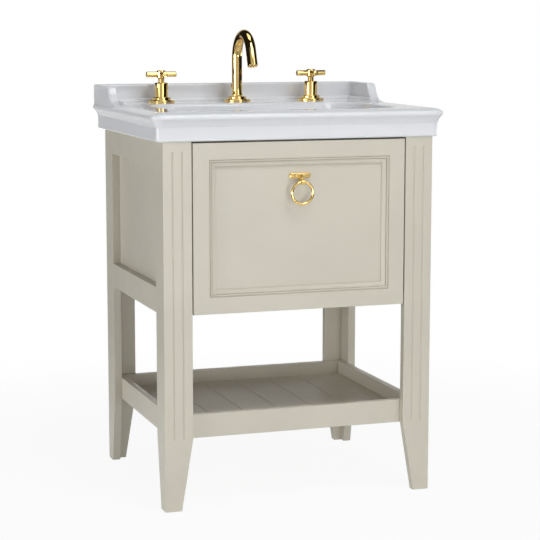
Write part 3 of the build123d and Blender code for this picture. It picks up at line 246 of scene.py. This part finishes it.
def smooth(mesh, angle):
    """Smooth shading, split where faces meet at more than an angle in degrees."""
    mesh.polygons.foreach_set("use_smooth", [True] * len(mesh.polygons))
    mesh.set_sharp_from_angle(angle=radians(angle))


def weighted(piece):
    """Normals weighted by face size, so that flat faces stay flat beside their roundings."""
    modifier = piece.modifiers.new("weighted", "WEIGHTED_NORMAL")
    modifier.keep_sharp = True
    modifier.weight = 60
    return piece


def welded(node):
    """A bmesh copy of a node's mesh with its split points joined."""
    made = bmesh.new()
    made.from_mesh(nodes[node].data)
    bmesh.ops.remove_doubles(made, verts=made.verts, dist=WELD)
    return made


def softened(node, width, segments=3):
    """A board or machined piece with its arrises rounded over."""
    made = welded(node)
    bmesh.ops.dissolve_limit(made, angle_limit=radians(FLAT_ANGLE), verts=made.verts, edges=made.edges)
    sharp = [edge for edge in made.edges
             if len(edge.link_faces) == 2 and edge.calc_face_angle(0) > radians(ARRIS_ANGLE)]
    bmesh.ops.bevel(made, geom=sharp, offset=width * MM, offset_type="OFFSET", segments=segments,
                    profile=0.5, affect="EDGES", clamp_overlap=True)
    mesh = bpy.data.meshes.new(node + "_rounded")
    made.to_mesh(mesh)
    made.free()
    smooth(mesh, ROUNDED_ANGLE)
    return weighted(stands_for(mesh, node + "_finished", node))


def smoothed(node, angle=32):
    """A curved CAD piece with continuous shading over its facets."""
    made = welded(node)
    mesh = bpy.data.meshes.new(node + "_smooth")
    made.to_mesh(mesh)
    made.free()
    smooth(mesh, angle)
    return weighted(stands_for(mesh, node + "_finished", node))


def rounded(outline, steps=5):
    """Outline points (a, b, radius) in mm with each corner eased over its radius."""
    points = []
    count = len(outline)
    for n, (a, b, radius) in enumerate(outline):
        here = Vector((a, b))
        if radius == 0 or n in (0, count - 1):
            points.append(here)
            continue
        before = Vector(outline[n - 1][:2]) - here
        after = Vector(outline[n + 1][:2]) - here
        cut = min(radius, before.length * 0.49, after.length * 0.49)
        start = here + before.normalized() * cut
        end = here + after.normalized() * cut
        for step in range(steps + 1):
            t = step / steps
            points.append(start * (1 - t) ** 2 + here * 2 * t * (1 - t) + end * t ** 2)
    return points


def lathe(made, outline, centre, segments=96, direction=(0, 0, 1)):
    """Turns an outline of (radius, height, rounding) about an axis through a centre, in mm."""
    turn = Vector(direction).to_track_quat("Z", "Y").to_matrix()
    origin = Vector(centre)
    rings = []
    for radius, height in rounded(outline):
        if radius < 0.0005:
            rings.append([made.verts.new((origin + turn @ Vector((0, 0, height))) * MM)])
        else:
            rings.append([made.verts.new((origin + turn @ Vector((radius * cos(2 * pi * k / segments),
                                                                  radius * sin(2 * pi * k / segments),
                                                                  height))) * MM)
                          for k in range(segments)])
    bridge(made, rings)


def bridge(made, rings):
    """Joins rings of points by quads, or by triangles where a ring is one point."""
    for low, high in zip(rings, rings[1:]):
        count = max(len(low), len(high))
        if count == 1:
            continue
        for k in range(count):
            after = (k + 1) % count
            if len(low) == 1:
                made.faces.new((low[0], high[after], high[k]))
            elif len(high) == 1:
                made.faces.new((low[k], low[after], high[0]))
            else:
                made.faces.new((low[k], low[after], high[after], high[k]))


def mesh_of(made, name, angle=38):
    """Closes a bmesh into a mesh with its normals outwards and smooth shading."""
    bmesh.ops.recalc_face_normals(made, faces=made.faces)
    mesh = bpy.data.meshes.new(name)
    made.to_mesh(mesh)
    made.free()
    smooth(mesh, angle)
    return mesh


# ---- Cabinet ----

for node in ("leg_front_left", "leg_front_right"):
    softened(node, 0.7)
for node in ("leg_back_left", "leg_back_right", "side_rails_left", "side_rails_right", "side_panel_left",
             "side_panel_right", "back_rail_bottom", "front_stretcher_top", "front_stretcher_bottom",
             "runner_packers", "shelf_rail_left", "shelf_rail_right", "shelf_rail_front",
             "shelf_rail_back", "shelf_battens"):
    softened(node, 0.9)
softened("shelf_planks", 0.5, 2)
for node in ("drawer_box_front", "drawer_floor", "drawer_backs", "drawer_liner"):
    softened(node, 0.8, 2)
for node in ("runner_channel_left", "runner_channel_right", "runner_middle_left", "runner_middle_right",
             "runner_slide_left", "runner_slide_right"):
    softened(node, 0.25, 2)


def drawer_front():
    """Moulded front: eased arris, flat frame, quirk, round bead, hollow slope and sunk panel."""
    gap = 0.9
    eased = 0.8
    arc_steps = 8
    low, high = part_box("drawer_front")
    low = Vector(low) / MM
    high = Vector(high) / MM - Vector((0, 0, gap))
    deep = high.y - low.y
    profile = [(0, deep - eased), (0, 1.2), (0.35, 0.35), (1.2, 0)]
    profile += [(35.0, 0), (35.3, 0.15), (35.5, 0.6), (35.6, 2.8), (36.5, 3.0)]
    bead_inset, bead_depth, bead = 38.5, 2.4, 1.9
    for step in range(arc_steps + 1):
        turn = pi * step / arc_steps
        profile.append((bead_inset - bead * cos(turn), bead_depth - bead * sin(turn)))
    slope_inset, slope_depth, slope_width, slope_fall = 41.9, 3.6, 8.7, 3.0
    profile += [(40.6, 5.0), (41.8, 5.2), (slope_inset, slope_depth)]
    for step in range(1, arc_steps + 1):
        turn = pi / 2 * step / arc_steps
        profile.append((slope_inset + slope_width * sin(turn) ** 1.15, slope_depth + slope_fall * (1 - cos(turn))))
    profile += [(50.8, 6.9), (51.0, 9.2), (51.5, 9.5)]
    made = bmesh.new()
    rings = []
    for inset, depth in [(eased, deep), *profile]:
        y = low.y + depth
        rings.append([made.verts.new(Vector((x, y, z)) * MM) for x, z in (
            (low.x + inset, low.z + inset), (high.x - inset, low.z + inset),
            (high.x - inset, high.z - inset), (low.x + inset, high.z - inset))])
    bridge(made, rings)
    made.faces.new(rings[0])
    made.faces.new(rings[-1])
    return weighted(stands_for(mesh_of(made, "drawer_front_moulded", 50), "drawer_front_finished",
                               "drawer_front"))


drawer_front()

# ---- Basin ----

def basin():
    """The CAD basin with its flat apron carried up to a crisp ledge under the cove."""
    rim_width = 24.5
    levels = ((0, 0), (20, 29.0), (26.5, 29.5), (42, 43.4), (55, 55.6), (60, 60))
    low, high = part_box("basin")
    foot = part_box("leg_front_left")[1][2] / MM
    made = welded("basin")
    for vertex in made.verts:
        rise = vertex.co.z / MM - foot
        edge = min(vertex.co.x - low[0], high[0] - vertex.co.x, vertex.co.y - low[1]) / MM
        if edge > rim_width or not 0 < rise < levels[-1][0]:
            continue
        for (below, new_below), (above, new_above) in zip(levels, levels[1:]):
            if below <= rise <= above:
                share = (rise - below) / (above - below)
                vertex.co.z = (foot + new_below + share * (new_above - new_below)) * MM
                break
    mesh = bpy.data.meshes.new("basin_smooth")
    made.to_mesh(mesh)
    made.free()
    smooth(mesh, 35)
    return weighted(stands_for(mesh, "basin_finished", "basin"))


basin()

# ---- Taps ----

DECK = 838.7
TAP_Y = 189.0
TAP_X = 182.0
ROSETTE_TOP = DECK + 11.3
COLUMN_TOP = DECK + 45.0
ROSETTE = [(31, DECK, 0.3), (31, DECK + 4.8, 0.9), (22.2, DECK + 4.8, 0.5), (21.5, DECK + 5.6, 0.3),
           (21.5, ROSETTE_TOP, 0.9)]

for side, x in (("hot", -TAP_X), ("cold", TAP_X)):
    made = bmesh.new()
    lathe(made, [(13, DECK, 0), *ROSETTE, (15.6, ROSETTE_TOP, 0.4), (15, ROSETTE_TOP + 0.7, 0.3),
                 (15, COLUMN_TOP, 2.6), (8.4, COLUMN_TOP, 0.4), (8.2, COLUMN_TOP - 0.7, 0.3),
                 (6.85, COLUMN_TOP - 0.7, 0.2), (6.85, COLUMN_TOP - 19, 0)], (x, TAP_Y, 0), 112)
    stands_for(mesh_of(made, side + "_column"), side + "_pillar_finished", side + "_pillar")
    made = bmesh.new()
    hub = COLUMN_TOP + 10
    lathe(made, [(4, DECK + 3, 0), (4, COLUMN_TOP - 20, 0), (6.75, COLUMN_TOP - 20, 0.3),
                 (6.75, hub - 1.2, 0.8), (8.4, hub, 0.5), (10, hub + 0.9, 1), (10, hub + 17.5, 2.1),
                 (6.6, hub + 17.5, 0.3), (6.2, hub + 17.0, 0.3), (0, hub + 17.0, 0)],
          (x, TAP_Y, 0), 96)
    arm = [(0, -35, 0), (6.25, -35, 1.3), (6.25, 35, 1.3), (0, 35, 0)]
    lathe(made, arm, (x, TAP_Y, hub + 8.75), 64, (1, 0, 0))
    lathe(made, arm, (x, TAP_Y, hub + 8.75), 64, (0, 1, 0))
    stands_for(mesh_of(made, side + "_cross"), side + "_handle_finished", side + "_handle")

made = bmesh.new()
lathe(made, [(7, DECK, 0), *ROSETTE, (7, ROSETTE_TOP, 0)], (0, TAP_Y, 0), 112)
stands_for(mesh_of(made, "spout_base"), "spout_rosette_finished", "spout_rosette")


def spout():
    """Swan neck: one tube of varying radius along its centre line, open at the mouth."""
    tube = 11.7
    sides = 80
    foot = ROSETTE_TOP + 0.2
    rise = ROSETTE_TOP + 89.5
    bend = 53.0
    sweep = radians(160)
    straight = 38
    upright = rise - foot
    length = upright + bend * sweep + straight

    def place(s):
        if s <= upright:
            return Vector((0, TAP_Y, foot + s)), Vector((0, 0, 1))
        if s <= upright + bend * sweep:
            turn = (s - upright) / bend
            return (Vector((0, TAP_Y - bend + bend * cos(turn), rise + bend * sin(turn))),
                    Vector((0, -sin(turn), cos(turn))))
        rest = s - upright - bend * sweep
        run = Vector((0, -sin(sweep), cos(sweep)))
        return Vector((0, TAP_Y - bend + bend * cos(sweep), rise + bend * sin(sweep))) + run * rest, run

    collar = 6.2
    outer = [(7.06, 0, 0), (13, 0, 0.5), (13, 5, 1.1), (11.9, 5.3, 0.4), (tube, collar, 0)]
    stations = [(p.x, p.y) for p in rounded(outer)]
    stations += [(tube, collar + (upright - collar) * n / 6) for n in range(1, 7)]
    stations += [(tube, upright + bend * sweep * n / 48) for n in range(1, 49)]
    mouth = [(tube, length - 30, 0), (tube, length, 1.1), (9.6, length, 0.5), (9.0, length - 0.7, 0.3),
             (9.0, length - 26, 0)]
    stations += [(p.x, p.y) for p in rounded(mouth)]
    made = bmesh.new()
    rings = []
    for radius, s in stations:
        centre, run = place(s)
        side = Vector((1, 0, 0))
        out = run.cross(side)
        rings.append([made.verts.new((centre + side * radius * cos(2 * pi * k / sides)
                                      + out * radius * sin(2 * pi * k / sides)) * MM) for k in range(sides)])
    bridge(made, rings)
    mesh = mesh_of(made, "swan_neck")
    return stands_for(mesh, "spout_finished", "spout")


spout()
smoothed("spout_aerator")

# ---- Ring pull ----

softened("pull_plate", 0.7)


def ring():
    """Round wire bent into a closed ring."""
    turns, sides = 128, 32
    low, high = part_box("pull_ring")
    centre = (Vector(low) + Vector(high)) / 2
    wire = (high[1] - low[1]) / 2
    radius = (high[2] - low[2]) / 2 - wire
    made = bmesh.new()
    rings = []
    for n in range(turns):
        turn = 2 * pi * n / turns
        out = Vector((cos(turn), 0, sin(turn)))
        rings.append([made.verts.new(centre + out * radius + wire * (out * cos(2 * pi * k / sides)
                                     + Vector((0, 1, 0)) * sin(2 * pi * k / sides))) for k in range(sides)])
    bridge(made, rings + rings[:1])
    return stands_for(mesh_of(made, "ring_wire"), "pull_ring_finished", "pull_ring")


ring()

# ---- Waste and trap ----

for node in ("waste_flange", "plug", "lift_rod"):
    smoothed(node)
for node in ("trap_cup", "trap_nuts", "waste_backnut", "pivot_nut", "tap_locknuts"):
    softened(node, 0.5, 2)

# ---- Every CAD node that is still shown gets its material ----

for node, cad in nodes.items():
    cad.data.materials.clear()
    cad.data.materials.append(finish(node))

# ---- Camera, floor, light ----

camera_data = bpy.data.cameras.new("camera")
camera = bpy.data.objects.new("camera", camera_data)
scene.collection.objects.link(camera)
forward = Vector((0.3184, 0.9369, -0.1444)).normalized()
right = forward.cross(Vector((0, 0, 1))).normalized()
up = right.cross(forward)
camera.matrix_world = Matrix.Translation((-1.22531, -3.64169, 1.01864)) @ Matrix(
    (right, up, -forward)).transposed().to_4x4()
camera_data.sensor_width = 36
camera_data.lens = 114.88
camera_data.shift_x = 0.0031
camera_data.shift_y = 0.0081
scene.camera = camera


def area(name, place, target, width, height, power):
    """White rectangular lamp that faces a point."""
    lamp = bpy.data.lights.new(name, "AREA")
    lamp.shape = "RECTANGLE"
    lamp.size = width
    lamp.size_y = height
    lamp.energy = power
    holder = bpy.data.objects.new(name, lamp)
    scene.collection.objects.link(holder)
    holder.location = place
    holder.rotation_euler = (Vector(target) - Vector(place)).to_track_quat("-Z", "Y").to_euler()


area("key_high", (1.9, -2.6, 2.5), (0, 0, 0.6), 1.5, 1.5, 14)
area("key_front", (0.9, -3.9, 1.6), (0, 0, 0.5), 1.4, 1.4, 13.5)
area("fill_front", (-2.9, -1.7, 0.9), (0, 0, 0.5), 1.0, 1.6, 9)
area("fill_side", (-3.2, -0.5, 0.6), (0, 0, 0.5), 1.6, 0.9, 33)
area("top_back", (0.1, 0.2, 2.9), (0, 0, 0.8), 1.2, 1.2, 8.5)
area("top_front", (0.3, -1.6, 2.9), (0, 0, 0.8), 1.2, 1.2, 27)
area("low_front", (0.3, -3.6, 0.22), (0, 0, 0.5), 1.5, 0.4, 25)
area("right", (3.4, 0.5, 0.35), (0, 0, 0.7), 1.4, 0.5, 13)
area("back", (1.0, 3.3, 0.3), (0, 0, 0.5), 1.4, 0.4, 13)


def floor():
    """Pale round floor that fades into the white background away from the object."""
    level, sides = -0.0005, 96
    made = bmesh.new()
    rings = [[made.verts.new((0, 0, level))]]
    for radius in (0.4, 0.8, 1.4, 2.4, 4.0, 6.0):
        rings.append([made.verts.new((radius * cos(2 * pi * k / sides), radius * sin(2 * pi * k / sides), level))
                      for k in range(sides)])
    bridge(made, rings)
    for face in made.faces:
        if face.normal.z < 0:
            face.normal_flip()
    mesh = bpy.data.meshes.new("floor")
    made.to_mesh(mesh)
    made.free()
    plane = bpy.data.objects.new("floor", mesh)
    scene.collection.objects.link(plane)
    material, tree, shader = surface("pale_floor", (0.84, 0.84, 0.84), 0.9)
    shader.inputs["Specular IOR Level"].default_value = 0.1
    output = tree.nodes["Material Output"]
    glow = tree.nodes.new("ShaderNodeEmission")
    seen = tree.nodes.new("ShaderNodeLightPath")
    white = tree.nodes.new("ShaderNodeMixShader")
    fade = tree.nodes.new("ShaderNodeMixShader")
    clear = tree.nodes.new("ShaderNodeBsdfTransparent")
    place = tree.nodes.new("ShaderNodeTexCoord")
    reach = tree.nodes.new("ShaderNodeVectorMath")
    reach.operation = "LENGTH"
    span = tree.nodes.new("ShaderNodeMapRange")
    span.interpolation_type = "SMOOTHSTEP"
    span.inputs["From Min"].default_value = 0.55
    span.inputs["From Max"].default_value = 1.7
    camera_or_glossy = tree.nodes.new("ShaderNodeMath")
    camera_or_glossy.operation = "MAXIMUM"
    share = tree.nodes.new("ShaderNodeMath")
    share.operation = "MULTIPLY"
    tree.links.new(place.outputs["Object"], reach.inputs[0])
    tree.links.new(reach.outputs["Value"], span.inputs["Value"])
    tree.links.new(seen.outputs["Is Camera Ray"], camera_or_glossy.inputs[0])
    tree.links.new(seen.outputs["Is Glossy Ray"], camera_or_glossy.inputs[1])
    share.inputs[1].default_value = 0.92
    tree.links.new(camera_or_glossy.outputs[0], share.inputs[0])
    tree.links.new(share.outputs[0], white.inputs["Fac"])
    tree.links.new(shader.outputs["BSDF"], white.inputs[1])
    tree.links.new(glow.outputs["Emission"], white.inputs[2])
    away = tree.nodes.new("ShaderNodeMath")
    away.operation = "MULTIPLY"
    tree.links.new(span.outputs["Result"], away.inputs[0])
    tree.links.new(camera_or_glossy.outputs[0], away.inputs[1])
    tree.links.new(away.outputs[0], fade.inputs["Fac"])
    tree.links.new(white.outputs["Shader"], fade.inputs[1])
    tree.links.new(clear.outputs["BSDF"], fade.inputs[2])
    tree.links.new(fade.outputs["Shader"], output.inputs["Surface"])
    mesh.materials.append(material)


floor()


def studio():
    """White behind the object, dim white for the light on it, and for the metal to mirror a pale
    patch behind the camera, dark sides and a pale patch beyond the object."""
    world = bpy.data.worlds.new("studio")
    world.use_nodes = True
    scene.world = world
    tree = world.node_tree
    plain = tree.nodes["Background"]
    plain.inputs["Color"].default_value = (1, 1, 1, 1)
    plain.inputs["Strength"].default_value = 0.16
    walls = tree.nodes.new("ShaderNodeBackground")
    white = tree.nodes.new("ShaderNodeBackground")
    white.inputs["Color"].default_value = (1, 1, 1, 1)
    place = tree.nodes.new("ShaderNodeTexCoord")
    toward = tree.nodes.new("ShaderNodeVectorMath")
    toward.operation = "DOT_PRODUCT"
    toward.inputs[1].default_value = (0.322, 0.947, 0.0)
    span = tree.nodes.new("ShaderNodeMapRange")
    span.inputs["From Min"].default_value = -1
    tree.links.new(place.outputs["Generated"], toward.inputs[0])
    tree.links.new(toward.outputs["Value"], span.inputs["Value"])
    greys = ((0.0, 0.55), (0.1, 0.5), (0.17, 0.012), (0.9, 0.012), (0.965, 0.75))
    tint = ramp(tree, span.outputs["Result"], [(place_at, (grey, grey, grey)) for place_at, grey in greys])
    tree.links.new(tint, walls.inputs["Color"])
    path = tree.nodes.new("ShaderNodeLightPath")
    glossy = tree.nodes.new("ShaderNodeMixShader")
    seen = tree.nodes.new("ShaderNodeMixShader")
    clear = tree.nodes.new("ShaderNodeMath")
    clear.operation = "MAXIMUM"
    tree.links.new(path.outputs["Is Camera Ray"], clear.inputs[0])
    tree.links.new(path.outputs["Is Transmission Ray"], clear.inputs[1])
    tree.links.new(path.outputs["Is Glossy Ray"], glossy.inputs["Fac"])
    tree.links.new(plain.outputs["Background"], glossy.inputs[1])
    tree.links.new(walls.outputs["Background"], glossy.inputs[2])
    tree.links.new(clear.outputs[0], seen.inputs["Fac"])
    tree.links.new(glossy.outputs["Shader"], seen.inputs[1])
    tree.links.new(white.outputs["Background"], seen.inputs[2])
    tree.links.new(seen.outputs["Shader"], tree.nodes["World Output"].inputs["Surface"])


studio()
scene.view_settings.view_transform = "Standard"
